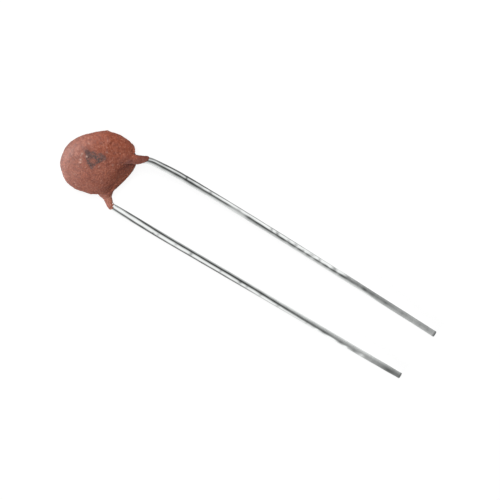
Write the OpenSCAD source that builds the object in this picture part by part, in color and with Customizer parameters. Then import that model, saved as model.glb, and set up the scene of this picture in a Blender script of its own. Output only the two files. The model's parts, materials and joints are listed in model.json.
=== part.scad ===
// Ceramic disc capacitor with two radial, kinked leads.
//
// A thin ceramic disc has a fired silver electrode on each face. A tinned wire is
// soldered across each electrode and kinked past the edge of the disc, so that both
// wires run parallel to +X. The front wire comes down to the middle plane of the
// disc beyond its kink; the back wire steps down to it before its kink. A dipped
// resin coating encloses the disc and runs a little way down each wire.
//
// Every piece is built about the centre of the ceramic disc, with the disc in
// the XY plane. Each side's lead, solder and coating are drawn for the front
// (+Z) side and turned over about X for the back. The finished part is then laid
// down as it rests on a bench: on the lowest point of the coating and on the tips
// of both leads. Sizes are in millimetres.

/* [Ceramic disc] */
// Diameter of the ceramic disc
ceramic_d = 4.2; // [4.0:0.05:4.4]
// Thickness of the ceramic disc
ceramic_t = 0.5; // [0.4:0.05:0.6]
// Bare ceramic between the edge of an electrode and the edge of the disc
electrode_margin = 0.2; // [0.1:0.05:0.3]
// Thickness of each fired silver electrode
electrode_t = 0.03; // [0.02:0.01:0.05]

/* [Leads] */
// Diameter of the wire
wire_d = 0.5; // [0.45:0.05:0.55]
// Spacing of the two leads where they run parallel
lead_pitch = 5; // [4.8:0.1:5.2]
// Angle between each lead and the centre line where it crosses the disc
splay = 31; // [30:0.5:33]
// Length of wire that lies along each face of the disc
lap_l = 2.7; // [2.4:0.1:2.9]
// Thinning of the wire where it is bent
bend_thinning = 0.003; // [0.002:0.001:0.005]

/* [Front lead] */
// Distance from the centre of the disc to the kink
front_kink_x = 2.38; // [2.35:0.01:2.5]
// Bend radius of the wire's centre line at the kink
front_kink_r = 1.8; // [1.5:0.1:1.9]
// Distance from the centre of the disc to where the wire reaches the middle plane
front_level_x = 5.9; // [5.5:0.1:6.5]
// Bend radius of the wire's centre line where it reaches the middle plane
front_level_r = 10; // [8:0.5:12]
// Distance from the centre of the disc to the tip
front_tip_x = 35.85; // [20:0.05:38]

/* [Back lead] */
// Gap, seen from above, between the edge of the ceramic and the step
back_step_gap = 0.05; // [0.03:0.01:0.1]
// Bend radius of the wire's centre line at the step
back_step_r = 0.6; // [0.55:0.05:0.8]
// Distance from the centre of the disc to the kink
back_kink_x = 3.62; // [3.5:0.02:3.7]
// Bend radius of the wire's centre line at the kink
back_kink_r = 0.8; // [0.7:0.1:1.2]
// Distance from the centre of the disc to the tip
back_tip_x = 37.35; // [20:0.05:38]

/* [Solder] */
// Solder film between an electrode and the wire on it
solder_film = 0.02; // [0.01:0.01:0.04]
// Solder over the top of the wire
solder_cover = 0.05; // [0.03:0.01:0.08]
// Radius of the rounded back of each solder fillet
solder_r = 0.45; // [0.42:0.01:0.5]
// Gap between the end of a solder fillet and the edge of its electrode
solder_gap = 0.1; // [0.05:0.05:0.3]

/* [Coating] */
// Resin beyond the edge of the ceramic
edge_coat = 0.55; // [0.5:0.05:0.65]
// Resin over the wires at the centre of the body
face_coat = 0.3; // [0.25:0.05:0.4]
// Radius of the rounded rim
rim_r = 0.7; // [0.6:0.05:0.8]
// Thinning of the resin where the wire under it is bent
coat_thinning = 0.01; // [0.008:0.001:0.015]
// Resin over each wire where it crosses the edge of the disc
ridge_coat = 0.12; // [0.1:0.01:0.16]
// Resin round the front wire where the coating ends
front_lip_coat = 0.06; // [0.05:0.01:0.1]
// Share of the front kink that the coating covers
front_kink_share = 0.15; // [0.1:0.05:0.5]
// Resin round the back wire beyond its step
back_root_coat = 0.2; // [0.16:0.01:0.22]
// Resin round the back wire at the kink
back_kink_coat = 0.03; // [0.03:0.01:0.08]
// Share of the back kink that the coating covers
back_kink_share = 0.8; // [0.5:0.05:0.95]

/* [Corner fillets] */
// Fillet between the rim and the front lead, on the side facing the back lead
front_fillet_r = 0.3; // [0.25:0.05:0.4]
// Radius of the rounded web that forms it
front_web_r = 0.2; // [0.15:0.01:0.22]
// Height of that web above the middle plane
front_web_z = 0.3; // [0.25:0.01:0.35]
// Fillet between the rim and the back lead, on each side
back_fillet_r = 0.6; // [0.5:0.05:0.8]
// Radius of the rounded web that forms it
back_web_r = 0.3; // [0.25:0.01:0.32]
// Height of that web below the middle plane
back_web_z = 0.2; // [0.15:0.01:0.3]
// Depth to which each web sinks into the rim and the lead's coating
web_bite = 0.04; // [0.03:0.01:0.06]

/* [Hidden] */
$fn = 48;

X = [1, 0, 0];
Z = [0, 0, 1];
// Length by which each end of a bend reaches into the straight run beside it
bend_lap = 0.03;
// Length by which the ridge starts inside the domed face
ridge_inset = 0.15;
// Number of sides of the domes' full circles
dome_fn = 192;

// Disc and body
electrode_d = ceramic_d - 2 * electrode_margin;
electrode_top = ceramic_t / 2 + electrode_t;
wire_r = wire_d / 2;
wire_z = electrode_top + solder_film + wire_r;
body_r = ceramic_d / 2 + edge_coat;
body_h = wire_z + wire_r + face_coat;
// Radius of the domed face, tangent to the rim, and depth of its centre
rim_c = body_r - rim_r;
dome_r = (rim_c * rim_c + body_h * body_h - rim_r * rim_r) / (2 * (body_h - rim_r));
dome_drop = dome_r - body_h;

// Corners of each wire's route, from the end of its lap to its tip, and the bend
// radius at each
splay_dir = [cos(splay), sin(splay), 0];
half_pitch = lead_pitch / 2;
front_kink = [front_kink_x, half_pitch, wire_z];
FRONT = [
    crossing(front_kink, ceramic_d / 2) - lap_l * splay_dir,
    front_kink,
    [front_level_x, half_pitch, 0],
    [front_tip_x, half_pitch, 0],
];
FRONT_BENDS = [0, front_kink_r, front_level_r, 0];
back_kink = [back_kink_x, half_pitch, 0];
BACK = [
    crossing(back_kink, ceramic_d / 2) - lap_l * splay_dir + wire_z * Z,
    crossing(back_kink, ceramic_d / 2 + back_step_gap) + wire_z * Z,
    back_kink,
    [back_tip_x, half_pitch, 0],
];
BACK_BENDS = [0, back_step_r, back_kink_r, 0];

// The solder fillet's axis lies below the wire's, so that it spreads at its foot
solder_z = wire_z + wire_r + solder_cover - solder_r;
solder_end_r = electrode_d / 2 - solder_gap - solder_r;

// The ridge over each wire starts just inside the domed face
ridge_r = wire_r + ridge_coat;
dome_side = dome_drop + wire_z + ridge_r;
ridge_start_r = sqrt(dome_r * dome_r - dome_side * dome_side) - ridge_inset;
front_lip_r = wire_r + front_lip_coat;
back_thick_r = wire_r + back_root_coat;
back_thin_r = wire_r + back_kink_coat;
back_web_lead_r = (back_thick_r + back_thin_r) / 2;

// Rest plane: touches the domed underside and the lower edge of both tips
front_tip = FRONT[3];
back_tip = [back_tip_x, -half_pitch, 0];
dome_centre = dome_drop * Z;
tip_line = unit(front_tip - back_tip);
tip_to_dome = dome_centre - (front_tip - wire_r * Z);
across = tip_to_dome - (tip_to_dome * tip_line) * tip_line;
rest_lean = acos(dome_r / norm(across));
rest_up = unit(turned(unit(across), tip_line, rest_lean));
rest_lift = dome_r - rest_up * dome_centre;
rest_tilt = acos(rest_up * Z);
// Middle of the part's length, from the rim to the longer tip
end_x = max(front_tip_x, back_tip_x) * cos(rest_tilt) + wire_r * sin(rest_tilt);
mid_x = (end_x - body_r) / 2;

function unit(v) = v / norm(v);

// Point where the splayed line through p passes radius r, seen from above
function crossing(p, r) =
    let (s = p.x * splay_dir.x + p.y * splay_dir.y)
    p - (s - sqrt(s * s - p.x * p.x - p.y * p.y + r * r)) * splay_dir;

// Vector v turned by an angle about the unit axis k
function turned(v, k, angle) =
    v * cos(angle) + cross(k, v) * sin(angle) + k * (k * v) * (1 - cos(angle));

// Direction of a route from its corner i to the next
function heading(route, i) = unit(route[i + 1] - route[i]);

// Length that the bend at corner i takes up on each side of that corner
function cut(route, bends, i) =
    bends[i] == 0 ? 0 : bends[i] * tan(acos(heading(route, i - 1) * heading(route, i)) / 2);

// Start and end of the straight run between corner i and the next
function run_start(route, bends, i) = route[i] + cut(route, bends, i) * heading(route, i);
function run_end(route, bends, i) = route[i + 1] - cut(route, bends, i + 1) * heading(route, i);

// Radius of the rim at height z
function rim_at(z) = rim_c + sqrt(rim_r * rim_r - z * z);

// Angle brought to between -180 and 180 degrees
function wrapped(angle) = angle > 180 ? angle - 360 : angle < -180 ? angle + 360 : angle;

// Moves children from the origin to p, with their Z axis along d
module aim(p, d) {
    side = unit(cross(abs(d.z) > 0.9 ? X : Z, d));
    up = cross(d, side);
    multmatrix([
        [side.x, up.x, d.x, p.x],
        [side.y, up.y, d.y, p.y],
        [side.z, up.z, d.z, p.z],
    ]) children();
}

// Straight round run from a to b, of radius r1 at a and r2 at b
module run(a, b, r1, r2) {
    aim(a, unit(b - a)) cylinder(h = norm(b - a), r1 = r1, r2 = r2);
}

// Round bend of radius r at corner i of a route, or its first share. Its ends reach
// into the straight runs beside it, so r is a little less than theirs.
module bend(route, bends, i, r, share = 1) {
    d1 = heading(route, i - 1);
    d2 = heading(route, i);
    angle = acos(d1 * d2);
    lap = bend_lap / bends[i] * 180 / PI;
    inward = unit(d2 - (d1 * d2) * d1);
    normal = cross(d1, inward);
    c = run_end(route, bends, i - 1) + bends[i] * inward;
    multmatrix([
        [-inward.x, d1.x, normal.x, c.x],
        [-inward.y, d1.y, normal.y, c.y],
        [-inward.z, d1.z, normal.z, c.z],
    ]) rotate([0, 0, -lap]) rotate_extrude(angle = share * angle + 2 * lap)
        translate([bends[i], 0]) circle(r);
}

// Turns children drawn for the front side over to the back
module on_back() {
    rotate([180, 0, 0]) children();
}

// Lays the part down on the bench, with the middle of its length over the origin
module at_rest() {
    translate([-mid_x, 0, rest_lift])
        rotate(a = rest_tilt, v = cross(rest_up, Z))
            children();
}

module wire(route, bends) {
    for (i = [0:2]) run(run_start(route, bends, i), run_end(route, bends, i), wire_r, wire_r);
    for (i = [1:2]) bend(route, bends, i, wire_r - bend_thinning);
}

module electrode() {
    translate([0, 0, ceramic_t / 2]) cylinder(h = electrode_t, d = electrode_d);
}

module ceramic() {
    translate([0, 0, -ceramic_t / 2]) cylinder(h = ceramic_t, d = ceramic_d);
}

// Long fillet with round ends and a round back, cut flat on the electrode
module solder_body(route) {
    b = crossing(route[0], solder_end_r);
    l = norm(b - route[0]);
    intersection() {
        translate([0, 0, solder_z - wire_z]) aim(route[0], splay_dir)
            rotate_extrude() intersection() {
                union() {
                    circle(solder_r);
                    square([solder_r, l]);
                    translate([0, l]) circle(solder_r);
                }
                translate([0, -solder_r]) square([solder_r, l + 2 * solder_r]);
            }
        translate([0, 0, electrode_top]) cylinder(h = body_h, d = electrode_d);
    }
}

module solder(route, bends) {
    difference() {
        solder_body(route);
        wire(route, bends);
    }
}

// Half section of the coated disc: two domes joined by a round rim
module body_section() {
    reach = 2 * body_h;
    tangent = dome_r / (dome_r - rim_r) * [rim_c, dome_drop] - [0, dome_drop];
    far = [rim_c, 0] + reach / rim_r * (tangent - [rim_c, 0]);
    intersection() {
        translate([0, -dome_drop]) circle(dome_r, $fn = dome_fn);
        translate([0, dome_drop]) circle(dome_r, $fn = dome_fn);
        polygon([[0, -reach], [far.x, -far.y], [rim_c, 0], far, [0, reach]]);
    }
    translate([rim_c, 0]) circle(rim_r);
}

module coated_disc() {
    rotate_extrude() body_section();
}

// Rounded web at height z, in the corner between the rim and a lead's coating of
// radius lead_r; side is 1 for the lead's outer side and -1 for its inner one
module corner_web(kink, lead_r, fillet_r, web_r, z, side) {
    out = side * [-splay_dir.y, splay_dir.x, 0];
    reach = fillet_r - web_bite;
    c = crossing(kink + (lead_r + reach) * out, rim_at(z) + reach);
    from_rim = atan2(-c.y, -c.x);
    from_lead = atan2(-out.y, -out.x);
    sweep = wrapped(from_lead - from_rim);
    translate([c.x, c.y, z]) rotate([0, 0, sweep > 0 ? from_rim : from_lead])
        rotate_extrude(angle = abs(sweep)) translate([fillet_r + web_r, 0]) circle(web_r);
}

module front_run_down() {
    run(crossing(front_kink, ridge_start_r), run_end(FRONT, FRONT_BENDS, 0), ridge_r, front_lip_r);
    bend(FRONT, FRONT_BENDS, 1, front_lip_r - coat_thinning, front_kink_share);
    corner_web(front_kink, front_lip_r, front_fillet_r, front_web_r, front_web_z, -1);
}

module back_run_down() {
    start = crossing(back_kink, ridge_start_r) + wire_z * Z;
    run(start, run_end(BACK, BACK_BENDS, 0), ridge_r, back_thick_r);
    bend(BACK, BACK_BENDS, 1, back_thick_r - coat_thinning);
    run(run_start(BACK, BACK_BENDS, 1), run_end(BACK, BACK_BENDS, 1), back_thick_r, back_thin_r);
    bend(BACK, BACK_BENDS, 2, back_thin_r - coat_thinning, back_kink_share);
    for (side = [-1, 1])
        corner_web(back_kink, back_web_lead_r, back_fillet_r, back_web_r, back_web_z, side);
}

module resin_coating() {
    color([0.64, 0.40, 0.33]) at_rest() difference() {
        union() {
            coated_disc();
            front_run_down();
            on_back() back_run_down();
        }
        ceramic();
        electrode();
        on_back() electrode();
        solder_body(FRONT);
        on_back() solder_body(BACK);
        wire(FRONT, FRONT_BENDS);
        on_back() wire(BACK, BACK_BENDS);
    }
}

module ceramic_disc() {
    color([0.86, 0.80, 0.70]) at_rest() ceramic();
}

module electrode_front() {
    color([0.80, 0.80, 0.79]) at_rest() electrode();
}

module electrode_back() {
    color([0.80, 0.80, 0.79]) at_rest() on_back() electrode();
}

module solder_front() {
    color([0.66, 0.67, 0.68]) at_rest() solder(FRONT, FRONT_BENDS);
}

module solder_back() {
    color([0.66, 0.67, 0.68]) at_rest() on_back() solder(BACK, BACK_BENDS);
}

module lead_front() {
    color([0.78, 0.79, 0.80]) at_rest() wire(FRONT, FRONT_BENDS);
}

module lead_back() {
    color([0.78, 0.79, 0.80]) at_rest() on_back() wire(BACK, BACK_BENDS);
}

resin_coating();
ceramic_disc();
electrode_front();
electrode_back();
solder_front();
solder_back();
lead_front();
lead_back();
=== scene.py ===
"""Looks of a ceramic disc capacitor: a dipped resin body and two tinned wire leads.

Lengths are in millimetres in the part's own frame, whose origin is the centre of the
ceramic disc, with X along the leads and Z out of the disc's front face. PART takes a
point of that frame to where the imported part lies, in metres. Colours are linear.
"""

import json
import math

import bpy
import numpy as np
from mathutils import Matrix, Vector, noise


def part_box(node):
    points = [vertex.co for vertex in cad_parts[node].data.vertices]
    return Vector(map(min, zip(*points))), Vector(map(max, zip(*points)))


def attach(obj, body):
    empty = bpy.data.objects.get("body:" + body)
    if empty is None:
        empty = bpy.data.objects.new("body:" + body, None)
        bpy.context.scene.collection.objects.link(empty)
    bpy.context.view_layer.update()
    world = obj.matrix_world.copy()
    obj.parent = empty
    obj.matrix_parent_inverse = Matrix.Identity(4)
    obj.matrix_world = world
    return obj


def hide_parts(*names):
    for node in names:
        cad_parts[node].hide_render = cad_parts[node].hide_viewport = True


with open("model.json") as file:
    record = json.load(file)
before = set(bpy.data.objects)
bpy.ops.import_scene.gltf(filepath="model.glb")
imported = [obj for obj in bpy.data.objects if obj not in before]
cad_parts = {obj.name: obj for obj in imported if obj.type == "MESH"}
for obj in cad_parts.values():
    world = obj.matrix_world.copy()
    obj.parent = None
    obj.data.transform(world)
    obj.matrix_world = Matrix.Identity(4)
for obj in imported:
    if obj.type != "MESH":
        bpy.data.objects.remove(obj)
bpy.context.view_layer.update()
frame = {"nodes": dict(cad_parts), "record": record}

MM = 0.001

# Coated body: its radius, its height over the middle plane and the radius of its rim
BODY_R = 2.65
BODY_H = 1.1
RIM_R = 0.7
# Radius of the ceramic disc
DISC_R = 2.1

# Both wires: radius, half the pitch, height over the middle plane where they cross the
# disc, angle from X there, and length that lies along the disc
WIRE_R = 0.25
HALF_PITCH = 2.5
WIRE_Z = 0.55
SPLAY = math.radians(31)
LAP = 2.7
# Front wire: X of its kink, X of where it reaches the middle plane, and both bends' radii
FRONT_KINK_X = 2.38
FRONT_LEVEL_X = 5.9
FRONT_BENDS = (1.8, 10)
# Back wire: how far out it steps down to the middle plane, X of its kink, and both bends'
# radii
BACK_STEP_R = 2.15
BACK_KINK_X = 3.62
BACK_BENDS = (0.6, 0.8)

# Camera, in the row frame: place in millimetres, turn in degrees, focal length, width of
# its film, and the nearest that it sees, all in millimetres
CAMERA_PLACE = (-85.398, 49.287, 92.832)
CAMERA_TURN = (-45.0996, -12.6784, 47.2927)
LENS = 129.6
FILM = 36
NEAREST = 5

# Where in the noise's pattern the coating's grain and the wires' lumps are taken
NOISE_SHIFT = Vector((7, 0, 0))


# ---------------------------------------------------------------- the part's frame


def part_frame():
    """Matrix from the part's own frame, in millimetres, to the row frame, in metres."""
    low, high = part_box("ceramic_disc")
    mounts = {m["name"]: m for m in frame["record"]["mounts"]}
    front, back = mounts["front_lead_pin"], mounts["back_lead_pin"]
    x = Vector(front["axis"]).normalized()
    y = Vector(front["pos_m"]) - Vector(back["pos_m"])
    y = (y - y.dot(x) * x).normalized()
    z = x.cross(y)
    turn = Matrix((x, y, z)).transposed().to_4x4()
    return Matrix.Translation((low + high) / 2) @ turn @ Matrix.Scale(MM, 4)


PART = part_frame()
TO_PART = PART.inverted()


# ---------------------------------------------------------------- helpers


def new_object(name, verts, faces):
    """Smooth-shaded mesh object, linked to the scene."""
    mesh = bpy.data.meshes.new(name)
    mesh.from_pydata([tuple(v) for v in verts], [], faces)
    mesh.validate()
    obj = bpy.data.objects.new(name, mesh)
    bpy.context.scene.collection.objects.link(obj)
    mesh.polygons.foreach_set("use_smooth", [True] * len(mesh.polygons))
    return obj


def to_row(obj):
    """Moves a mesh drawn in the part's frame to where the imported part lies."""
    obj.data.transform(PART)
    obj.data.update()


def points_of(obj):
    """Places of a mesh's points, one row each."""
    return np.array([v.co for v in obj.data.vertices])


def write(obj, name, values):
    """Keeps a number for each point of a mesh as an attribute, for its material."""
    layer = obj.data.attributes.new(name, "FLOAT", "POINT")
    layer.data.foreach_set("value", values.astype(np.float32))


def smooth_step(x):
    """0 below 0, 1 above 1 and a smooth rise between."""
    x = np.clip(x, 0, 1)
    return x * x * (3 - 2 * x)


def cloud(points, size):
    """Noise about 0 at each point, with features of a size."""
    return np.array([noise.noise(Vector(p) / size) for p in points])


# ---------------------------------------------------------------- route of the wires

# Direction of the front wire where it crosses the disc
ALONG = Vector((math.cos(SPLAY), math.sin(SPLAY), 0))


def rounded(corners, bends, spacing):
    """Points about spacing apart along straight runs joined by round bends."""
    corners = [Vector(c) for c in corners]
    points = [corners[0]]

    def run_to(end):
        start = points[-1]
        n = max(1, round((end - start).length / spacing))
        points.extend(start.lerp(end, k / n) for k in range(1, n + 1))

    for i, bend in enumerate(bends, 1):
        into = (corners[i] - corners[i - 1]).normalized()
        out = (corners[i + 1] - corners[i]).normalized()
        angle = into.angle(out)
        cut = bend * math.tan(angle / 2)
        across = (out - out.dot(into) * into).normalized()
        centre = corners[i] - cut * into + bend * across
        run_to(corners[i] - cut * into)
        n = max(2, round(bend * angle / spacing))
        for k in range(1, n + 1):
            a = angle * k / n
            points.append(centre + bend * (math.sin(a) * into - math.cos(a) * across))
    run_to(corners[-1])
    return points


def crossing(p, r):
    """Point where the splayed line through p passes radius r, seen from above."""
    s = p.dot(ALONG)
    return p - (s - math.sqrt(s * s - p.x**2 - p.y**2 + r * r)) * ALONG


def front_corners(tip_x):
    """Corners of the front wire: end of its lap, kink, start of its level run, and tip."""
    kink = Vector((FRONT_KINK_X, HALF_PITCH, WIRE_Z))
    lap_end = crossing(kink, DISC_R) - LAP * ALONG
    level = Vector((FRONT_LEVEL_X, HALF_PITCH, 0))
    return [lap_end, kink, level, Vector((tip_x, HALF_PITCH, 0))]


def back_corners(tip_x):
    """Corners of the back wire: end of its lap, step, kink and tip. They are drawn as for
    the front side and turned over about X."""
    kink = Vector((BACK_KINK_X, HALF_PITCH, 0))
    up = Vector((0, 0, WIRE_Z))
    lap_end = crossing(kink, DISC_R) - LAP * ALONG + up
    step = crossing(kink, BACK_STEP_R) + up
    corners = [lap_end, step, kink, Vector((tip_x, HALF_PITCH, 0))]
    return [Vector((p.x, -p.y, -p.z)) for p in corners]


def tip_of(node):
    """X of a lead's tip in the part's frame."""
    return max((TO_PART @ v.co).x for v in frame["nodes"][node].data.vertices)


def inward(p, kink_x, side):
    """How far points lie from a lead's lap towards the other lead; side is 1 for the front
    lead and -1 for the back one."""
    return (p[:, 0] - kink_x) * ALONG.y - (side * p[:, 1] - HALF_PITCH) * ALONG.x


# ---------------------------------------------------------------- shape of the coating
#
# The coating is the surface where a distance, which is negative inside it, is 0.

# The two domes: distance of the rim's middle from the axis, and radius and depth of each
# dome's centre
RIM_MIDDLE = BODY_R - RIM_R
DOME_R = (RIM_MIDDLE**2 + BODY_H**2 - RIM_R**2) / (2 * (BODY_H - RIM_R))
DOME_DROP = DOME_R - BODY_H

# Hundredths of a millimetre by which the outline differs from a circle at an angle, in
# degrees, from +X towards +Y
OUTLINE = (
    (-180, 4), (-165, 3), (-150, 0), (-138, -1), (-127, -8), (-114, -5), (-107, 0), (-90, -3),
    (-80, -2), (-70, -2), (-62, 2), (-56, 6), (-48, 9), (-40, 7), (-30, 5), (-14, 11), (0, 18),
    (10, 21), (20, 20), (30, 14), (42, 3), (54, -6), (62, -2), (72, 4), (80, -2), (88, -5),
    (97, -8), (103, -4), (114, -9), (119, 2), (124, -5), (138, -10), (150, -9), (160, -3),
    (170, 3), (180, 4),
)
# Spread and reach, in degrees, of the bell curve that evens the outline out
OUTLINE_SOFT = 2.5
OUTLINE_REACH = 9
# How far from the axis the outline's change begins, and over what distance
OUTLINE_FROM = 1.2
OUTLINE_OVER = 1.1

# The front face falls off between the two leads: the direction and slope of the fall in
# degrees, how far from the axis it starts and how softly, and how far from the front
# lead's lap it begins and over what distance
FALL_TURN = 14
FALL_LEAN = 31
FALL_AT = 1.02
FALL_SOFT = 0.28
FALL_FROM = 0.14
FALL_OVER = 0.3

# Beads of resin on the rim: X, Y, radius and height
BEADS = (
    (1.14, 2.38, 0.10, 0.14), (-1.06, 2.2, 0.13, 0.06), (1.2, -2.1, 0.2, 0.05),
    (-0.2, 2.56, 0.15, 0.03),
)

# The run-downs. radii: (distance past the kink along the wire, radius) pairs. end: X past
# the kink, direction and rounding of the end. corner: the run-down lies past it, in X and
# on its own side in Y and Z. rim: how far from the axis the face gives way to the stretch
# past the rim, and over what distance. fillets: reach of the fillet everywhere, and what
# is added over the face on the outer side, past the rim on the outer side, and past the
# rim on the inner side.
FRONT_LEG = dict(
    side=1,
    kink_x=FRONT_KINK_X,
    radii=(
        (-2.9, 0.29), (-1.9, 0.30), (-1.3, 0.33), (-0.9, 0.315), (-0.5, 0.29), (0.5, 0.275),
    ),
    end=(-0.18, (1, -0.4, 0), 0.12),
    corner=(-1.6, -0.4, -0.4),
    rim=(2.1, 0.5),
    fillets=(0.12, 0.45, 0, 0.85),
)
BACK_LEG = dict(
    side=-1,
    kink_x=BACK_KINK_X,
    radii=(
        (-3.0, 0.36), (-2.2, 0.45), (-1.9, 0.55), (-1.5, 0.56), (-1.3, 0.52), (-1.15, 0.45),
        (-0.9, 0.35), (-0.7, 0.30), (-0.3, 0.265), (0.3, 0.262),
    ),
    end=(0.13, (1, 0, 0), 0.05),
    corner=(0.5, 0.2, -0.5),
    rim=(1.3, 0.9),
    fillets=(0.2, 0, 0.7, 1.2),
)
# Length of wire past the kink that is drawn for a run-down, and spacing of its points
LEG_RUN = 5
LEG_SPACING = 0.06
# Distance over which a run-down's outer side turns into its inner one
SIDES_OVER = 0.7

# The space that the coating is looked for in, the size of its mesh's cells, how often the
# mesh is evened out, by what share of the way to the middle of a point's neighbours, and
# the least square of the slope that a point is drawn onto the surface by
COAT_LOW = (-BODY_R - 0.15, -3.1, -BODY_H - 0.1)
COAT_HIGH = (4.3, 3.2, BODY_H + 0.1)
CELL = 0.045
ROUNDS = 4
EVENED = 0.5
LEAST_SLOPE = 0.1
# Distance to each side over which a slope is taken
SLOPE_STEP = 1e-4

# Grain of the resin: size and height of each layer of noise
GRAIN = ((0.9, 0.022), (0.35, 0.016), (0.14, 0.015))
# Height of grit of strength 1, and how far from its middle it reaches
GRIT_HEIGHT = 0.035
GRIT_REACH = 0.2


def blend(a, b, reach):
    """The lesser of two distances, with the corner between them filled over a reach."""
    h = np.maximum(reach - np.abs(a - b), 0) / reach
    return np.minimum(a, b) - h**3 * reach / 6


def cut_off(d, beyond, rounding):
    """Distance d cut off where beyond is more than 0, with a rounded edge."""
    return -blend(-d, -beyond, rounding)


def outline():
    """Change of the body's radius at each degree from -180 to 180."""
    at, change = np.array(OUTLINE).T
    rough = np.interp(np.arange(-180, 180), at, change / 100)
    away = np.arange(-OUTLINE_REACH, OUTLINE_REACH + 1)
    soft = np.exp(-0.5 * (away / OUTLINE_SOFT) ** 2)
    lapped = np.concatenate((rough[-OUTLINE_REACH:], rough, rough[:OUTLINE_REACH]))
    smooth = np.convolve(lapped, soft / soft.sum(), "valid")
    return np.append(smooth, smooth[0])


EDGE = outline()


def domes(p):
    """Distance to two domes joined by a round rim, with a lumpy outline."""
    turn = np.degrees(np.arctan2(p[:, 1], p[:, 0]))
    change = np.interp(turn, np.arange(-180, 181), EDGE)
    r = np.hypot(p[:, 0], p[:, 1])
    r *= 1 - smooth_step((r - OUTLINE_FROM) / OUTLINE_OVER) * change / (BODY_R + change)
    h = np.abs(p[:, 2])
    at_rim = RIM_MIDDLE * (h + DOME_DROP) < DOME_DROP * r
    rim = np.hypot(r - RIM_MIDDLE, h) - RIM_R
    return np.where(at_rim, rim, np.hypot(r, h + DOME_DROP) - DOME_R)


def body_distance(p):
    """Distance to the coated disc, without the run-downs."""
    d = domes(p)
    turn, lean = math.radians(FALL_TURN), math.radians(FALL_LEAN)
    out = np.array((math.cos(turn), math.sin(turn), 0))
    normal = math.sin(lean) * out + (0, 0, math.cos(lean))
    crease = FALL_AT * out + (0, 0, math.sqrt(DOME_R**2 - FALL_AT**2) - DOME_DROP)
    fallen = cut_off(d, (p - crease) @ normal, FALL_SOFT)
    between = smooth_step((inward(p, FRONT_KINK_X, 1) - FALL_FROM) / FALL_OVER)
    d += between * (fallen - d)
    for x, y, size, height in BEADS:
        d -= height * np.exp(-((p[:, 0] - x) ** 2 + (p[:, 1] - y) ** 2) / size**2)
    return d


def sleeve_points(corners, bends, kink, radii):
    """Points along the part of a wire that radii spans, and the sleeve's radius at each."""
    path = rounded(corners, bends, LEG_SPACING)
    past = np.cumsum([0.0] + [(b - a).length for a, b in zip(path, path[1:])])
    past -= past[min(range(len(path)), key=lambda i: (path[i] - kink).length)]
    at, radius = np.array(radii).T
    keep = (past >= at[0]) & (past <= at[-1])
    return np.array(path)[keep], np.interp(past[keep], at, radius)


def sleeve(p, path, radii):
    """Distance to a round sleeve along a path; radii holds its radius at each point."""
    best = np.full(len(p), np.inf)
    for a, b, ra, rb in zip(path, path[1:], radii, radii[1:]):
        ab = b - a
        t = np.clip((p - a) @ ab / (ab @ ab), 0, 1)
        apart = np.linalg.norm(p - a - t[:, None] * ab, axis=1)
        best = np.minimum(best, apart - ra - t * (rb - ra))
    return best


def with_leg(d, p, leg, corners, bends, kink):
    """Distance d at points p with a run-down added."""
    side, corner = leg["side"], leg["corner"]
    near = (p[:, 0] > corner[0]) & (side * p[:, 1] > corner[1]) & (side * p[:, 2] > corner[2])
    q = p[near]
    past, way, rounding = leg["end"]
    beyond = (q - kink - (past, 0, 0)) @ np.array(Vector(way).normalized())
    resin = sleeve(q, *sleeve_points(corners, bends, kink, leg["radii"]))
    resin = cut_off(resin, beyond, rounding)
    inner = smooth_step(inward(q, leg["kink_x"], side) / SIDES_OVER + 0.5)
    start, over = leg["rim"]
    out = smooth_step((np.hypot(q[:, 0], q[:, 1]) - start) / over)
    least, face, outer_rim, inner_rim = leg["fillets"]
    reach = least + (1 - inner) * (face * (1 - out) + outer_rim * out) + inner_rim * inner * out
    d[near] = blend(d[near], resin, reach)
    return d


def coat_distance(p):
    """Distance to the whole coating."""
    front = front_corners(FRONT_KINK_X + LEG_RUN)
    back = back_corners(BACK_KINK_X + LEG_RUN)
    d = with_leg(body_distance(p), p, FRONT_LEG, front, FRONT_BENDS, front[1])
    return with_leg(d, p, BACK_LEG, back, BACK_BENDS, back[2])


def slopes(distance, p):
    """Gradient of a distance at an array of points."""
    out = np.empty_like(p)
    for k in range(3):
        step = np.zeros(3)
        step[k] = SLOPE_STEP
        out[:, k] = (distance(p + step) - distance(p - step)) / (2 * SLOPE_STEP)
    return out


def surface_net(distance, low, high, step):
    """Quad mesh of the surface where distance is 0: a point in each cell of a grid that
    the surface passes through, and a face across each edge of the grid that it cuts."""
    axes = [np.arange(a, b + step, step) for a, b in zip(low, high)]
    size = [len(a) for a in axes]
    grid = np.stack(np.meshgrid(*axes, indexing="ij"), -1).reshape(-1, 3)
    inside = (distance(grid) < 0).reshape(size)
    corners = [
        inside[i:size[0] - 1 + i, j:size[1] - 1 + j, k:size[2] - 1 + k]
        for i in (0, 1) for j in (0, 1) for k in (0, 1)
    ]
    mixed = np.any(corners, 0) & ~np.all(corners, 0)
    number = np.full(mixed.shape, -1)
    number[mixed] = np.arange(mixed.sum())
    verts = np.array(low) + (np.argwhere(mixed) + 0.5) * step
    faces = []
    for k in range(3):
        turned = (k, (k + 1) % 3, (k + 2) % 3)
        now = np.moveaxis(inside, turned, (0, 1, 2))
        cell = np.moveaxis(number, turned, (0, 1, 2))
        a, b = now[:-1, 1:-1, 1:-1], now[1:, 1:-1, 1:-1]
        for from_inside in (True, False):
            u, v, w = np.nonzero((a == from_inside) & (b != from_inside))
            around = (cell[u, v, w], cell[u, v + 1, w], cell[u, v + 1, w + 1], cell[u, v, w + 1])
            quad = np.stack(around, 1)
            faces.append(quad if from_inside else quad[:, ::-1])
    return verts, np.concatenate(faces)


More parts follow.
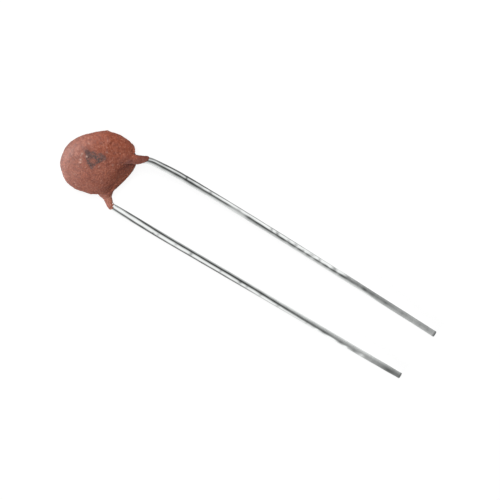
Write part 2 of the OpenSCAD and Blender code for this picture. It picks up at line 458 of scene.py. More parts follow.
def relax(distance, verts, faces, rounds):
    """Evens out a mesh and draws it onto the surface where distance is 0."""
    edges = np.concatenate([faces[:, [k, (k + 1) % 4]] for k in range(4)])
    start, end = edges.T
    count = np.bincount(start, minlength=len(verts))[:, None]
    for _ in range(rounds):
        total = np.stack([np.bincount(start, verts[end, k], len(verts)) for k in range(3)], 1)
        verts = verts + EVENED * (total / count - verts)
        slope = slopes(distance, verts)
        square = np.maximum((slope * slope).sum(1), LEAST_SLOPE)
        verts = verts - (distance(verts) / square)[:, None] * slope
    return verts


def coating():
    """The coating's skin, without its grain."""
    verts, faces = surface_net(coat_distance, COAT_LOW, COAT_HIGH, CELL)
    verts = relax(coat_distance, verts, faces, ROUNDS)
    return new_object("resin_skin", verts, faces.tolist())


def grain(obj):
    """Pushes the surface in and out by layered noise, and out at the grit."""
    mesh = obj.data
    moved = []
    for v in mesh.vertices:
        push = sum(height * noise.noise(v.co / size + NOISE_SHIFT) for size, height in GRAIN)
        for x, y, size, amount in STAINS_AND_PAINTED_LIGHT["grit"]:
            apart = (v.co.x - x) ** 2 + (v.co.y - y) ** 2
            if v.co.z > 0 and apart < GRIT_REACH**2:
                push += GRIT_HEIGHT * amount * math.exp(-apart / size**2)
        moved.append(v.co + v.normal * push)
    mesh.vertices.foreach_set("co", np.array(moved).ravel())
    mesh.update()


# ---------------------------------------------------------------- marks on the coating

# Corners of the smudge of worn ink, seen from the front, how far the ink reaches past
# them and over what distance it ends; the middle and radius of the gap in it, over what
# distance it begins and how much of the ink it takes; and how ragged the edges are, and
# how large their tatters
SMUDGE = (
    (-2.05, 0.62), (-1.85, 0.76), (-1.65, 0.78), (-1.50, 0.92), (-1.19, 0.97), (-1.07, 1.15),
    (-0.82, 1.18), (-0.50, 1.05), (-0.55, 0.82), (-0.70, 0.63), (-0.77, 0.40), (-0.72, 0.08),
    (-0.80, -0.16), (-1.17, -0.07), (-1.63, 0.24),
)
SMUDGE_PAST = 0.08
SMUDGE_OVER = 0.14
GAP = (-1.12, 0.40)
GAP_R = 0.27
GAP_OVER = 0.12
GAP_DEPTH = 0.7
RAGGED = 0.1
RAGGED_SIZE = 0.25

# Stains and painted light on the front face: rows of X, Y, radius and strength. The first kind is
# painted shade and the second painted light; the clots and grit are the resin's own.
STAINS_AND_PAINTED_LIGHT = {
    "painted_upper_shade": (
        (-1.05, 1.55, 0.75, 0.95), (-0.2, 1.7, 0.7, 0.5),
    ),
    "light": (
        (-1.3, -0.9, 0.9, 0.1), (2.28, -0.05, 0.36, 0.75), (2.42, 0.45, 0.28, 0.7),
        (2.2, -0.45, 0.3, 0.5), (0.1, 0.1, 0.5, 0.28),
    ),
    "clots": (
        (-1.84, 0.68, 0.16, 0.9), (-1.62, 0.55, 0.12, 0.6), (-0.76, 0.82, 0.07, 0.9),
        (-0.72, 1.13, 0.08, 0.7), (-0.93, 0.11, 0.09, 0.9), (-1.24, 0.05, 0.06, 0.6),
        (-1.30, 0.18, 0.06, 0.5), (-1.66, 0.22, 0.06, 0.5),
    ),
    "grit": (
        (-2.02, 0.32, 0.055, 0.9), (-1.67, 0.37, 0.055, 0.8), (-1.80, -0.10, 0.06, 0.9),
        (-1.66, -0.26, 0.055, 1), (-1.98, 0.15, 0.05, 0.5), (-0.36, -2.05, 0.06, 0.5),
        (-0.07, -2.06, 0.06, 0.5), (-0.6, -1.9, 0.05, 0.4), (-0.5, 0.3, 0.06, 0.4),
        (0.25, 0.95, 0.06, 0.4), (-0.77, 1.46, 0.05, 0.4),
    ),
}

# Painted shade on and beside the run-downs: rows of X, how far inward from the front lead's lap,
# half length, half width and strength. The last two lie by the back lead, and the others over the
# front lead and beside it.
PAINTED_SHADE = (
    (1.88, -0.2, 0.52, 0.17, 0.78), (1.65, 0.03, 0.36, 0.12, 0.5),
    (1.1, -0.02, 0.26, 0.2, 0.85), (1.55, 0.5, 0.45, 0.4, 0.62), (0.72, -0.22, 0.32, 0.2, 0.35),
    (0.75, 0.05, 0.3, 0.09, 0.45), (1.35, 0.27, 0.42, 0.1, 0.8), (2.1, 3.15, 0.25, 0.3, 0.25),
    (1.55, 2.65, 0.4, 0.45, 0.35),
)
# Lowest Z of the painted shade
PAINTED_SHADE_LOW = -0.3
# Painted light on the back run-down: how strong it is on the line of its lead's lap, how much
# more for each millimetre inward, and the least and the most that this comes to
PAINTED_LIGHT = 0.42
PAINTED_LIGHT_INWARD = 2.4
PAINTED_LIGHT_LIMITS = (0.08, 0.95)
# It starts a distance along the lap's direction, later by a share of how far inward a
# point lies, and comes in over a distance
PAINTED_LIGHT_START = 3.14
PAINTED_LIGHT_LATER = 0.4
PAINTED_LIGHT_OVER = 0.2
# Towards its end the painted light is weaker: from an X, over a distance and by a share
END_FROM = 2.95
END_OVER = 0.35
END_LESS = 0.65
# The light is painted only from this far out on the back lead's side, and comes in over a
# distance
PAINTED_LIGHT_SIDE = 1.1
PAINTED_LIGHT_SIDE_OVER = 0.3


def smudge(obj):
    """Writes how strongly the smudge shows at each point of the coating's front face."""
    co = points_of(obj)
    corners = np.array(SMUDGE)
    apart, winding = np.full(len(co), np.inf), np.zeros(len(co))
    for a, b in zip(corners, np.roll(corners, -1, 0)):
        edge, p, q = b - a, co[:, :2] - a, co[:, :2] - b
        share = (p @ edge / (edge @ edge)).clip(0, 1)
        apart = np.minimum(apart, np.hypot(*(p - share[:, None] * edge).T))
        winding += np.arctan2(p[:, 0] * q[:, 1] - p[:, 1] * q[:, 0], (p * q).sum(1))
    inside = np.where(np.abs(winding) > math.pi, apart, -apart)
    wobble = RAGGED * cloud(co, RAGGED_SIZE)
    strength = smooth_step((inside + SMUDGE_PAST + wobble) / SMUDGE_OVER)
    from_gap = np.hypot(*(co[:, :2] - GAP).T)
    strength *= 1 - GAP_DEPTH * smooth_step((GAP_R + wobble - from_gap) / GAP_OVER)
    write(obj, "smudge", strength * (co[:, 2] > 0))


def stains_and_painted_light(obj):
    """Writes how strongly each kind of stain, painted shade and painted light shows at each
    point.
    """
    co = points_of(obj)
    for name, rows in STAINS_AND_PAINTED_LIGHT.items():
        strength = np.zeros(len(co))
        for x, y, size, amount in rows:
            apart = np.hypot(co[:, 0] - x, co[:, 1] - y)
            strength = np.maximum(strength, amount * np.exp(-((apart / size) ** 2)))
        write(obj, name, strength * (co[:, 2] > 0))


def run_downs(obj):
    """Writes the painted shade on and beside the run-downs, and the painted light on the back
    run-down.
    """
    co = points_of(obj)
    inner = inward(co, FRONT_KINK_X, 1)
    thin = np.zeros(len(co))
    for x, apart, length, width, amount in PAINTED_SHADE:
        off = np.abs((co[:, 0] - x) / length) ** 3 + np.abs((inner - apart) / width) ** 3
        thin = np.maximum(thin, amount * np.exp(-off))
    write(obj, "thin", thin * (co[:, 2] > PAINTED_SHADE_LOW))
    inner = inward(co, BACK_KINK_X, -1)
    along = co[:, 0] * ALONG.x - co[:, 1] * ALONG.y
    painted_light = (PAINTED_LIGHT + PAINTED_LIGHT_INWARD * inner).clip(*PAINTED_LIGHT_LIMITS)
    painted_light *= 1 - END_LESS * smooth_step((co[:, 0] - END_FROM) / END_OVER)
    painted_light *= smooth_step((along - PAINTED_LIGHT_START - PAINTED_LIGHT_LATER * inner) / PAINTED_LIGHT_OVER)
    write(obj, "painted_light", painted_light * smooth_step((-co[:, 1] - PAINTED_LIGHT_SIDE) / PAINTED_LIGHT_SIDE_OVER))


# ---------------------------------------------------------------- leads
#
# Reflections are painted along the tin in long streaks. Across a wire, a place runs from -1 on
# the side towards +Y to 1 on the side towards -Y.

# Points round a wire, spacing along it, and how many degrees from Z towards +Y the
# middle of the places lies
SIDES = 72
WIRE_SPACING = 0.1
LIT_TURN = 28

# Rows of X and change along Y, and of X and change of radius
FRONT_BOW = (
    (3.5, -0.02), (4.8, -0.035), (6.2, -0.06), (9, 0), (12, 0.025), (17, 0.04), (21, 0.025),
    (25, 0.015), (29, -0.008), (33, -0.033), (35.9, -0.062),
)
BACK_BOW = ((3.7, 0.02), (9, 0), (20, 0), (31, -0.034), (37.4, -0.03))
FRONT_SWELL = ((3, 0.008), (4.5, 0.026), (7, 0.026), (9, 0.01), (24, 0.01), (27, 0))
BACK_SWELL = ((3.9, 0), (4.6, 0.02), (20, 0.02), (33, 0.024), (36, 0.015), (37.2, 0))
# Unevenness of the tin: size and height of its lumps and of its dents, and how much
# slimmer the wire is to make room for them
LUMPS = (1.3, 0.006)
DENTS = (0.45, 0.004)
SLIMMER = 0.005

# Snipped tip: how far the wire is drawn past the CAD's tip; rings of points near its end,
# as (distance from the end, how much slimmer) pairs; X lost for each millimetre of Y and
# of Z; the length over which that comes in; and the number of rings, from the end, that
# count as one X each where the tin is drawn
TIP_PAST = 0.26
TIP_RINGS = ((0.06, 0), (0.035, 0.003), (0.015, 0.012), (0.004, 0.025), (0, 0.04))
TIP_SLANT = (0.39, 0.74)
TIP_OVER = 0.6
TIP_REACH = 8

# Painted dark reflections, in streaks: the sharpness of the +Y and of the -Y side, then rows of
# X, place, depth and the half widths of the two sides
FRONT_DARK_REFLECTIONS = (
    (2.6, 1.6, (
        (2, -0.1, 0.93, 0.35, 0.5), (3, 0.02, 0.95, 0.36, 0.5), (6, 0.16, 0.98, 0.38, 0.5),
        (8, 0.2, 0.92, 0.36, 0.5), (10.4, 0.12, 0.92, 0.3, 0.5), (11, 0.1, 0.65, 0.3, 0.6),
        (12.3, 0.1, 0.7, 0.3, 0.75), (12.8, 0.12, 0.93, 0.3, 0.75), (16, 0.2, 0.94, 0.24, 0.65),
        (19.5, 0.22, 0.8, 0.24, 0.6), (22.5, 0.19, 0.87, 0.26, 0.6), (25, 0.06, 0.9, 0.42, 0.7),
        (28, 0, 0.4, 0.5, 0.7),
    )),
    (2.6, 5, (
        (2, -0.84, 0.7, 0.26, 0.3), (4, -0.93, 0.98, 0.4, 0.4), (6, -0.94, 0.995, 0.4, 0.46),
        (8, -0.93, 0.98, 0.38, 0.36), (10, -0.92, 0.8, 0.2, 0.26), (13, -0.92, 0.7, 0.2, 0.22),
        (19, -0.92, 0.65, 0.2, 0.2), (23, -0.92, 0.2, 0.2, 0.2), (26, -0.9, 0, 0.2, 0.2),
    )),
)
BACK_DARK_REFLECTIONS = (
    (1.6, 2.6, (
        (3.9, -0.92, 0.85, 0.4, 0.3), (5, -0.86, 0.95, 0.4, 0.38), (6, -0.78, 0.98, 0.42, 0.4),
        (7, -0.66, 0.98, 0.42, 0.38), (8, -0.52, 0.995, 0.5, 0.4), (9, -0.46, 0.97, 0.46, 0.34),
        (10.5, -0.42, 0.97, 0.48, 0.34), (13, -0.37, 0.99, 0.5, 0.34),
        (16, -0.34, 0.99, 0.5, 0.4), (19, -0.24, 0.97, 0.5, 0.42), (22, -0.05, 0.95, 0.5, 0.44),
        (25, 0.1, 0.88, 0.7, 0.44), (28, 0.24, 0.85, 1.0, 0.42), (31, 0.36, 0.8, 1.1, 0.4),
        (33, 0.4, 0.4, 1.1, 0.5),
    )),
    (2.6, 2.6, (
        (3.9, 0.38, 0.85, 0.26, 0.3), (5, 0.5, 0.9, 0.26, 0.3), (6, 0.62, 0.93, 0.28, 0.3),
        (8, 0.82, 0.95, 0.26, 0.26), (10, 0.88, 0.93, 0.24, 0.26), (13, 0.88, 0.95, 0.27, 0.26),
        (16, 0.88, 0.95, 0.27, 0.26), (18, 0.9, 0.88, 0.22, 0.2), (19.5, 0.95, 0.6, 0.2, 0.2),
        (24, 0.96, 0.3, 0.2, 0.2), (28, 0.96, 0, 0.2, 0.2),
    )),
)
# Painted reflections in spots on the tin: rows of X, place, half length, half width and depth,
# which is less than 0 for a painted highlight
FRONT_REFLECTION_SPOTS = (
    (6.15, -0.3, 0.10, 0.5, 0.85), (6.7, 0.1, 0.4, 0.3, 0.4), (7.6, -0.2, 0.25, 0.3, 0.3),
    (8.65, -0.3, 0.14, 0.4, 0.5), (11.7, -0.3, 0.2, 0.4, 0.25), (11.9, 0.15, 0.6, 0.3, -0.5),
    (14.4, 0.2, 0.4, 0.25, 0.35), (15.3, -0.4, 0.12, 0.4, 0.55), (15.8, 0.25, 0.22, 0.3, -0.9),
    (15.95, -0.25, 0.2, 0.45, 0.7), (16.55, 0.2, 0.3, 0.3, 0.5), (17.2, 0.25, 0.18, 0.3, -0.7),
    (17.25, -0.15, 0.2, 0.3, 0.5), (17.8, 0.2, 0.3, 0.25, 0.4), (18.1, -0.35, 0.2, 0.35, 0.5),
    (18.28, 0.25, 0.14, 0.3, -0.7), (18.7, 0.2, 0.25, 0.3, 0.45),
    (19.0, -0.1, 0.15, 0.25, 0.45), (19.25, 0.25, 0.15, 0.3, -0.6), (19.6, 0.2, 0.2, 0.25, 0.4),
    (20.0, -0.3, 0.25, 0.35, 0.4), (20.15, 0.25, 0.22, 0.3, -0.9),
    (20.7, 0.2, 0.25, 0.25, 0.35), (20.9, -0.35, 0.15, 0.4, 0.5), (21.2, 0.25, 0.18, 0.3, -0.7),
    (21.75, 0.15, 0.2, 0.3, 0.4), (22.2, 0.2, 0.12, 0.3, -0.5), (22.7, -0.45, 0.3, 0.5, 0.65),
    (22.7, 0.2, 0.25, 0.25, 0.35), (23.2, 0.2, 0.18, 0.3, -0.7), (23.75, 0.1, 0.3, 0.4, 0.4),
    (24.4, -0.4, 0.4, 0.5, 0.6), (24.5, 0.1, 0.25, 0.4, -0.7), (26.5, 0, 0.35, 0.4, 0.6),
    (27.4, 0.05, 0.3, 0.3, 0.3), (29.2, 0.05, 0.3, 0.4, 0.4), (31.4, 0, 0.2, 0.6, 0.3),
    (33.8, 0.2, 0.1, 0.5, 0.25), (34.8, 0, 0.12, 0.6, 0.15),
)
BACK_REFLECTION_SPOTS = (
    (7.9, 0.6, 0.12, 0.25, 0.5), (8.35, 0.3, 0.12, 0.4, 0.35), (10.2, 0.1, 0.15, 0.3, 0.3),
    (11.85, 0.25, 0.16, 0.5, 0.6), (15.1, 0.2, 0.12, 0.5, 0.4), (17.3, 0.1, 0.2, 0.45, 0.65),
    (18.1, 0.3, 0.12, 0.4, 0.35), (19.7, 0.4, 0.15, 0.4, 0.3), (21.8, 0.5, 0.2, 0.4, 0.35),
    (25.3, 0.5, 0.15, 0.4, 0.3), (26.6, 0.75, 0.15, 0.3, -0.9), (27.4, 0.4, 0.3, 0.4, 0.35),
    (28.5, 0.72, 0.45, 0.35, -1.1), (29.5, 0.45, 0.25, 0.4, 0.35),
    (30.3, 0.75, 0.25, 0.35, -1.0), (31.3, 0.5, 0.3, 0.4, 0.35), (32.3, 0.5, 0.3, 0.4, -0.8),
    (35.8, 0.4, 0.5, 0.5, 0.4),
)
# Where the tin is dull: rows of X, dullness, tone and how much lighter the +Y and the -Y edge
# are, a painted reflection. The bright side turns dull later, by a length.
FRONT_DULL = (
    (23.6, 0, 0.22, 1.6, 2.4), (24.6, 0.6, 0.22, 1.6, 2.4), (25.4, 0.95, 0.2, 1.6, 2.4),
    (28, 1, 0.21, 1.6, 2.2), (29.5, 1, 0.26, 1.4, 1.8), (31, 1, 0.33, 1.15, 1.35),
    (35.7, 1, 0.33, 1.1, 1.3), (35.95, 1, 0.12, 1, 1), (36.2, 1, 0.05, 1, 1),
)
BACK_DULL = (
    (27.5, 0, 0.36, 1.8, 1.4), (30, 0.45, 0.34, 1.9, 1.4), (31.5, 0.8, 0.33, 2, 1.35),
    (34, 0.95, 0.29, 1.9, 0.95), (35.8, 1, 0.18, 2.1, 0.8), (37.3, 1, 0.19, 2.1, 0.8),
    (37.45, 1, 0.1, 1, 1), (37.7, 1, 0.05, 1, 1),
)
DULL_LATER = 4

# Tone of clean tin, how much darker the far side is painted, as painted shade, and how far
# towards +Y the painted streaks lie there from their places on the near side
CLEAN_TONE = 0.95
FAR_DARKER = 0.45
FAR_SHIFT = 0.3
# Where the far side starts to darken, and over what range, on a scale from 0 at the
# wire's edges to 1 at the middle of the far side
FAR_FROM = 0.05
FAR_OVER = 0.3
# Greatest depth of a streak, and the lowest tone
DEEPEST = 0.98
LOWEST = 0.02
# Noise along a wire, as its size, row and strength: in the places, widths and depths of
# the streaks, where each streak has its own row, and in the tone of dull tin
WANDER = (1.1, 3, 0.04)
WIDTHS = (0.8, 7, 0.15)
DEPTHS = (0.5, 9, 0.06)
BANDS = (0.8, 30, 0.12)
# Size and strength of the patches of dull tin
PATCHES = (0.35, 0.12)


def bowed(path, bow):
    """A path moved along Y by the rows of a bow."""
    at, change = np.array(bow).T
    return [p + Vector((0, float(np.interp(p.x, at, change)), 0)) for p in path]


def lead(name, path, swell):
    """Wire whose tip is snipped off at a slant. Returns it with each point's angle from
    the middle of its places, towards -Y."""
    tip = path[-1].x + TIP_PAST
    slimmer = [0] * len(path) + [slim for _, slim in TIP_RINGS]
    path = path + [Vector((tip - back, path[-1].y, 0)) for back, _ in TIP_RINGS]
    verts, turns = [], []
    side = Vector((0, 1, 0))
    for i, p in enumerate(path):
        d = (path[min(i + 1, len(path) - 1)] - path[max(i - 1, 0)]).normalized()
        side = (side - side.dot(d) * d).normalized()
        up = d.cross(side)
        lump = LUMPS[1] * noise.noise(p / LUMPS[0] + NOISE_SHIFT) if i else 0
        r = WIRE_R + float(np.interp(p.x, *zip(*swell))) - slimmer[i] + lump - SLIMMER
        slanted = min(max((p.x - tip) / TIP_OVER + 1, 0), 1)
        for k in range(SIDES):
            a = 2 * math.pi * k / SIDES
            way = math.cos(a) * side + math.sin(a) * up
            dent = DENTS[1] * noise.noise((p + WIRE_R * way) / DENTS[0])
            point = p + (r + dent) * way
            lost = TIP_SLANT[0] * (point.y - p.y) + TIP_SLANT[1] * (point.z - p.z)
            point.x -= slanted * lost
            verts.append(point)
            turns.append(math.degrees(a) - 90 + LIT_TURN)
    around = [(k, (k + 1) % SIDES) for k in range(SIDES)]
    starts = range(0, (len(path) - 1) * SIDES, SIDES)
    faces = [(a + k, a + m, a + SIDES + m, a + SIDES + k) for a in starts for k, m in around]
    faces.append(tuple(reversed(range(SIDES))))
    faces.append(tuple(range(len(verts) - SIDES, len(verts))))
    return new_object(name, verts, faces), np.radians(turns)


def streaks(wire, turns, dark, reflection_spots, dull, bright_side):
    """Writes the tone, with its painted reflections and painted shade, and the dullness of each
    point of a wire, drawn in the part's frame.
    Its bright_side is 1 for the side towards -Y and -1 for the one towards +Y."""
    co = points_of(wire)
    x, place, facing = co[:, 0].copy(), np.sin(turns), np.cos(turns)
    tip = slice(len(x) - TIP_REACH * SIDES, None)
    x[tip] = np.repeat([ring.mean() for ring in x[tip].reshape(-1, SIDES)], SIDES)

    def wave(kind, streak=0):
        size, row, strength = kind
        return strength * np.array([noise.noise(Vector((a / size, row + streak, 0))) for a in x])

    def by_side(upper, at, up, low):
        return np.where(upper, np.interp(x, at, up), np.interp(x, at, low))

    # Painted shade darkens the far side
    tone = CLEAN_TONE - FAR_DARKER * smooth_step((-facing - FAR_FROM) / FAR_OVER)
    # Painted dark reflections in streaks
    for k, (up_sharp, low_sharp, rows) in enumerate(dark):
        at, middle, depth, up, low = np.array(rows).T
        wander = wave(WANDER, k) - FAR_SHIFT * (facing < 0)
        off = place - np.interp(x, at, middle) - wander
        width = by_side(off < 0, at, up, low) * (1 + wave(WIDTHS, k))
        depth = (np.interp(x, at, depth) * (1 + wave(DEPTHS, k))).clip(0, DEEPEST)
        sharp = np.where(off < 0, up_sharp, low_sharp)
        tone *= 1 - depth * np.exp(-np.abs(off / width) ** sharp)
    at, share, grey, up, low = np.array(dull).T
    late = x - DULL_LATER * (place * bright_side).clip(0, 1)
    share = np.where(x > at[-2], 1, np.interp(late, at, share))
    # The dull tin's edges are lighter by a painted reflection
    edge_reflection = by_side(place < 0, at, up, low) - 1
    patches = 1 + wave(BANDS) + PATCHES[1] * cloud(co, PATCHES[0])
    grey = np.interp(x, at, grey) * (1 + edge_reflection * np.abs(place)) * patches
    tone = tone * (1 - share) + grey * share
    # Painted reflections in dark and bright spots
    for at, middle, length, width, depth in reflection_spots:
        tone *= 1 - depth * np.exp(-((x - at) / length) ** 2 - ((place - middle) / width) ** 2)
    write(wire, "tone", tone.clip(LOWEST, 1))
    write(wire, "dull", share)


# ---------------------------------------------------------------- materials

# Pieces inside the coating: their nodes, then their material's name, how metallic it is,
# its dark and light colour, the size of its mottling, roughness and depth of relief
INNER = (
    (("ceramic_disc",),
     "ceramic", 0, (0.62, 0.50, 0.36), (0.76, 0.66, 0.51), 0.2, 0.6, 0.004),
    (("electrode_front", "electrode_back"),
     "silver", 1, (0.52, 0.52, 0.51), (0.70, 0.70, 0.68), 0.08, 0.42, 0.002),
    (("solder_front", "solder_back"),
     "solder", 1, (0.34, 0.35, 0.36), (0.48, 0.49, 0.50), 0.15, 0.35, 0.003),
)
# How much smoother and rougher than its roughness such a piece is in places
ROUGH_SPREAD = 0.08


class Nodes:
    """Short ways to add and join the nodes of a material or a world."""

    def __init__(self, tree):
        self.tree = tree

    def put(self, socket, value):
        """Links another node's socket to this one, or sets this one to a value."""
        if isinstance(value, bpy.types.NodeSocket):
            self.tree.links.new(value, socket)
        else:
            socket.default_value = value

    def add(self, kind, *values):
        """New node with its first inputs linked or set."""
        node = self.tree.nodes.new("ShaderNode" + kind)
        for socket, value in zip(node.inputs, values):
            self.put(socket, value)
        return node

    def part(self):
        """A point of the surface in the part's frame."""
        place = self.add("TexCoord").outputs["Object"]
        point = self.add("CombineXYZ")
        for k in range(3):
            dot = self.add("VectorMath", place, TO_PART[k][:3])
            dot.operation = "DOT_PRODUCT"
            self.put(point.inputs[k], self.math("ADD", dot.outputs["Value"], TO_PART[k][3]))
        return point.outputs[0]

    def math(self, operation, *values):
        """Result of an operation on one or two values."""
        node = self.add("Math", *values)
        node.operation = operation
        return node.outputs[0]

    def noise(self, point, size, detail=2.0, stretch=None):
        """Noise about 0.5, with features of a size; a stretch below 1 draws them out."""
        if stretch:
            scaled = self.add("VectorMath", point, stretch)
            scaled.operation = "MULTIPLY"
            point = scaled.outputs[0]
        node = self.add("TexNoise", point)
        node.inputs["Scale"].default_value = 1 / size
        node.inputs["Detail"].default_value = detail
        return node.outputs["Fac"]

    def spots(self, point, size):
        """Distance, in units of size, to the nearest of many scattered points."""
        node = self.add("TexVoronoi", point)
        node.inputs["Scale"].default_value = 1 / size
        return node.outputs["Distance"]

    def ramp(self, value, *stops):
        """A number or colour that changes with a value, from (value, result) stops."""
        node = self.add("ValToRGB", value)
        band = node.color_ramp
        while len(band.elements) < len(stops):
            band.elements.new(0.5)
        for element, (at, result) in zip(band.elements, stops):
            colour = result if isinstance(result, tuple) else (result, result, result)
            element.position = at
            element.color = (*colour, 1)
        return node.outputs[0]

    def mix(self, share, a, b):
        """Colour between a and b."""
        node = self.add("Mix")
        node.data_type = "RGBA"
        self.put(node.inputs[0], share)
        for socket, colour in ((node.inputs[6], a), (node.inputs[7], b)):
            self.put(socket, (*colour, 1) if isinstance(colour, tuple) else colour)
        return node.outputs[2]

    def attribute(self, name):
        """Number that a mesh keeps under a name."""
        node = self.add("Attribute")
        node.attribute_name = name
        return node.outputs["Fac"]

    def bump(self, height, depth):
        """A normal from a height of 0 to 1 that stands for a depth."""
        node = self.add("Bump")
        self.put(node.inputs["Height"], height)
        node.inputs["Distance"].default_value = depth * MM
        node.inputs["Strength"].default_value = 1
        return node.outputs[0]

    def seen_or_mirrored(self):
        """1 for camera, glossy and transmission rays, and 0 for the rest."""
        rays = self.add("LightPath").outputs
        mirrored = self.math("MAXIMUM", rays["Is Glossy Ray"], rays["Is Transmission Ray"])
        return self.math("MAXIMUM", rays["Is Camera Ray"], mirrored)


def material(name, **values):
    """New material with some inputs of its shader set. Returns it, its nodes, the shader
    and a point of the surface."""
    mat = bpy.data.materials.new(name)
    mat.use_nodes = True
    shader = mat.node_tree.nodes["Principled BSDF"]
    for key, value in values.items():
        shader.inputs[key.replace("_", " ")].default_value = value
    n = Nodes(mat.node_tree)
    return mat, n, shader.inputs, n.part()


def resin_material():
    """Matte, finely grained resin with its stains, its run-downs and the worn ink, and painted
    shade, painted light and painted sheen.
    """
    mat, n, shader, point = material("resin", Specular_IOR_Level=0.25)
    slow = n.noise(point, 1.3, 3)
    lumps = n.noise(point, 0.26, 2)
    fine = n.noise(point, 0.12, 2)
    # Painted sheen: paler towards the edge that faces away from the leads
    split = n.add("SeparateXYZ", point).outputs
    away = n.math("ADD", n.math("MULTIPLY", split[0], -0.2), n.math("MULTIPLY", split[1], -0.1))
    patchy = n.ramp(n.noise(point, 0.8, 3), (0.3, 0.5), (0.7, 1.2))
    painted_sheen = n.math("MULTIPLY", n.ramp(away, (0.25, 0.0), (0.6, 0.07)), patchy)
    worn = n.ramp(n.noise(point, 0.12, 3), (0.36, 0.35), (0.5, 1.0))
    ink = n.math("MULTIPLY", n.attribute("smudge"), worn)
    ink_dark, ink_pale = (0.055, 0.032, 0.028), (0.20, 0.094, 0.076)
    ink_colour = n.ramp(n.noise(point, 0.14, 2), (0.36, ink_dark), (0.64, ink_pale))
    sparse = n.ramp(n.noise(point, 0.7, 2), (0.45, 0.0), (0.6, 1.0))
    specks = n.math("MULTIPLY", n.ramp(n.spots(point, 0.4), (0.06, 0.35), (0.16, 0.0)), sparse)

    colour = n.ramp(slow, (0.3, (0.340, 0.085, 0.045)), (0.7, (0.395, 0.108, 0.058)))
    for share, over in (
        # Painted shade on the upper face
        (n.attribute("painted_upper_shade"), (0.355, 0.073, 0.025)),
        # Painted light in patches
        (n.attribute("light"), (0.62, 0.19, 0.10)),
        # Painted shade and painted highlights, coarse and fine, as of hollows and crests
        (n.ramp(lumps, (0.36, 0.5), (0.52, 0.0)), (0.22, 0.062, 0.042)),
        (n.ramp(lumps, (0.5, 0.0), (0.7, 0.24)), (0.56, 0.22, 0.15)),
        (n.ramp(fine, (0.3, 0.55), (0.48, 0.0)), (0.20, 0.055, 0.038)),
        (n.ramp(fine, (0.56, 0.0), (0.74, 0.65)), (0.58, 0.26, 0.19)),
        # Painted sheen
        (painted_sheen, (0.85, 0.74, 0.70)),
        # Painted shade over and beside the front lead and by the back lead, painted light on the
        # back run-down
        (n.attribute("thin"), (0.135, 0.034, 0.025)),
        (n.attribute("painted_light"), (0.85, 0.37, 0.26)),
        (ink, ink_colour),
        (n.attribute("clots"), (0.10, 0.026, 0.022)),
        # Pale specks and grit, partly painted glints on the grain
        (n.math("MAXIMUM", specks, n.attribute("grit")), (0.76, 0.52, 0.43)),
    ):
        colour = n.mix(share, colour, over)
    n.put(shader["Base Color"], colour)
    n.put(shader["Roughness"], n.ramp(n.noise(point, 0.3, 3), (0.3, 0.74), (0.7, 0.86)))
    pits = n.ramp(n.spots(point, 0.22), (0.0, 0.0), (0.35, 1.0))
    height = n.math("ADD", n.noise(point, 0.1, 2), n.math("MULTIPLY", pits, 0.25))
    n.put(shader["Normal"], n.bump(height, 0.035))
    return mat


def wire_material():
    """Tin with painted reflections in streaks along the wire, rougher where it is dull."""
    mat, n, shader, point = material("tinned_wire", Metallic=1.0)
    drawn = n.ramp(n.noise(point, 0.1, 3, (0.12, 1, 1)), (0.3, 0.92), (0.7, 1.05))
    tone = n.math("MULTIPLY", n.attribute("tone"), drawn)
    black, bright = (0.012, 0.015, 0.014), (0.96, 0.98, 0.97)
    n.put(shader["Base Color"], n.ramp(tone, (0.0, black), (1.0, bright)))
    grain = n.ramp(n.noise(point, 0.08, 3, (0.1, 1, 1)), (0.3, 0.14), (0.7, 0.26))
    n.put(shader["Roughness"], n.math("ADD", n.math("MULTIPLY", n.attribute("dull"), 0.2), grain))
    n.put(shader["Normal"], n.bump(n.noise(point, 0.12, 3, (0.3, 1, 1)), 0.0015))
    return mat


def inner_material(name, metallic, dark, light, size, rough, depth):
    """Mottled material of a piece inside the coating."""
    mat, n, shader, point = material(name, Metallic=metallic)
    grain = n.noise(point, size, 4)
    fine = n.noise(point, size / 2, 3)
    n.put(shader["Base Color"], n.ramp(grain, (0.3, dark), (0.7, light)))
    spread = (0.3, rough - ROUGH_SPREAD), (0.7, rough + ROUGH_SPREAD)
    n.put(shader["Roughness"], n.ramp(fine, *spread))
    n.put(shader["Normal"], n.bump(grain, depth))
    return mat


# ---------------------------------------------------------------- studio

WHITE = (1, 1, 1, 1)
# Strength of the world's light on the part; the camera and mirrors see the world white
FILL = 0.08
# Floor: half its size in metres, and its height in millimetres. Its paper lights the
# part. The camera and mirrors see a glow instead, with just enough shade to keep the
# part's shadow.
FLOOR_HALF = 1.5
FLOOR_Z = -0.015
PAPER = (0.8, 0.8, 0.8, 1)
GLOW = 0.88
SHADE = (0.24, 0.24, 0.24, 1)
# Metres from the row frame's origin to each lamp
LAMP_DISTANCE = 0.4


def surroundings():
    """World that looks white and lights the part faintly."""
    world = bpy.data.worlds.new("studio")
    bpy.context.scene.world = world
    world.use_nodes = True
    world.node_tree.nodes.clear()
    n = Nodes(world.node_tree)
    fill, white = n.add("Background", WHITE, FILL), n.add("Background", WHITE, 1)
    mixed = n.add("MixShader", n.seen_or_mirrored(), fill.outputs[0], white.outputs[0])
    n.add("OutputWorld", mixed.outputs[0])


def floor_material():
    """White paper that glows for the camera and mirrors."""
    mat = bpy.data.materials.new("floor")
    mat.use_nodes = True
    mat.node_tree.nodes.clear()
    n = Nodes(mat.node_tree)
    paper, shade = n.add("BsdfDiffuse", PAPER), n.add("BsdfDiffuse", SHADE)
    glow = n.add("Emission", WHITE, GLOW)
    seen = n.add("AddShader", shade.outputs[0], glow.outputs[0])
    mixed = n.add("MixShader", n.seen_or_mirrored(), paper.outputs[0], seen.outputs[0])
    n.add("OutputMaterial", mixed.outputs[0])
    return mat


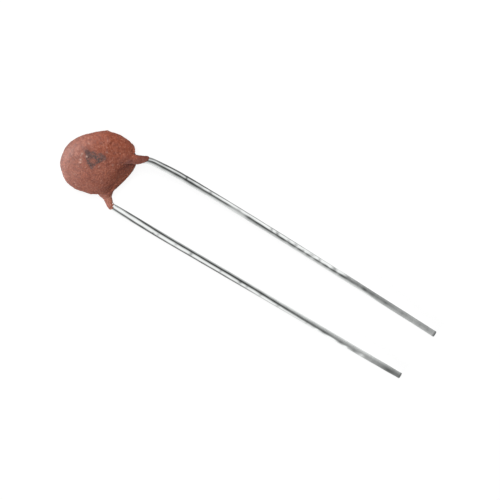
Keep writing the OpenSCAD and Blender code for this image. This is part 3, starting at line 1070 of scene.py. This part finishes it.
def ground():
    """Square floor just below the part."""
    signs = ((-1, -1), (1, -1), (1, 1), (-1, 1))
    corners = [(x * FLOOR_HALF, y * FLOOR_HALF, 0) for x, y in signs]
    floor = new_object("floor", corners, [(0, 1, 2, 3)])
    floor.location.z = FLOOR_Z * MM
    floor.data.materials.append(floor_material())


def lamp(name, direction, size, power):
    """Round lamp that shines on the part from a direction; size in metres, power in watts."""
    data = bpy.data.lights.new(name, "AREA")
    data.shape = "DISK"
    data.size = size
    data.energy = power
    obj = bpy.data.objects.new(name, data)
    bpy.context.scene.collection.objects.link(obj)
    direction = Vector(direction).normalized()
    obj.location = direction * LAMP_DISTANCE
    obj.rotation_euler = direction.to_track_quat("Z", "Y").to_euler()
    return obj


def camera():
    """The photograph's view."""
    data = bpy.data.cameras.new("camera")
    data.lens = LENS
    data.sensor_width = FILM
    data.clip_start = NEAREST * MM
    obj = bpy.data.objects.new("camera", data)
    bpy.context.scene.collection.objects.link(obj)
    obj.location = Vector(CAMERA_PLACE) * MM
    obj.rotation_euler = [math.radians(a) for a in CAMERA_TURN]
    bpy.context.scene.camera = obj


# ---------------------------------------------------------------- the scene

camera()
surroundings()
ground()
lamp("key", (-0.709, 0.41, 0.574), size=0.16, power=1.21)
lamp("side", (-0.134, -0.957, 0.259), size=0.2, power=0.87)
sheen = lamp("sheen", (-0.859, -0.419, 0.294), size=0.18, power=12.5)
sheen.visible_diffuse = False

skin = coating()
grain(skin)
stains_and_painted_light(skin)
smudge(skin)
run_downs(skin)
to_row(skin)
skin.data.materials.append(resin_material())
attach(skin, "root")
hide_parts("resin_coating")
# The sheen lamp gives the coating alone its dusty gloss
dusty = bpy.data.collections.new("dusty")
dusty.objects.link(skin)
sheen.light_linking.receiver_collection = dusty

tinned = wire_material()
for node, corners_to, bends, bow, swell, *drawn in (
    ("lead_front", front_corners, FRONT_BENDS, FRONT_BOW, FRONT_SWELL,
     FRONT_DARK_REFLECTIONS, FRONT_REFLECTION_SPOTS, FRONT_DULL, 1),
    ("lead_back", back_corners, BACK_BENDS, BACK_BOW, BACK_SWELL,
     BACK_DARK_REFLECTIONS, BACK_REFLECTION_SPOTS, BACK_DULL, -1),
):
    route = rounded(corners_to(tip_of(node)), bends, WIRE_SPACING)
    wire, turns = lead("tinned_" + node, bowed(route, bow), swell)
    streaks(wire, turns, *drawn)
    to_row(wire)
    wire.data.materials.append(tinned)
    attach(wire, "root")
    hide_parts(node)

for nodes, *look in INNER:
    mat = inner_material(*look)
    for node in nodes:
        obj = frame["nodes"][node]
        obj.data.materials.clear()
        obj.data.materials.append(mat)

bpy.context.scene.view_settings.view_transform = "Standard"
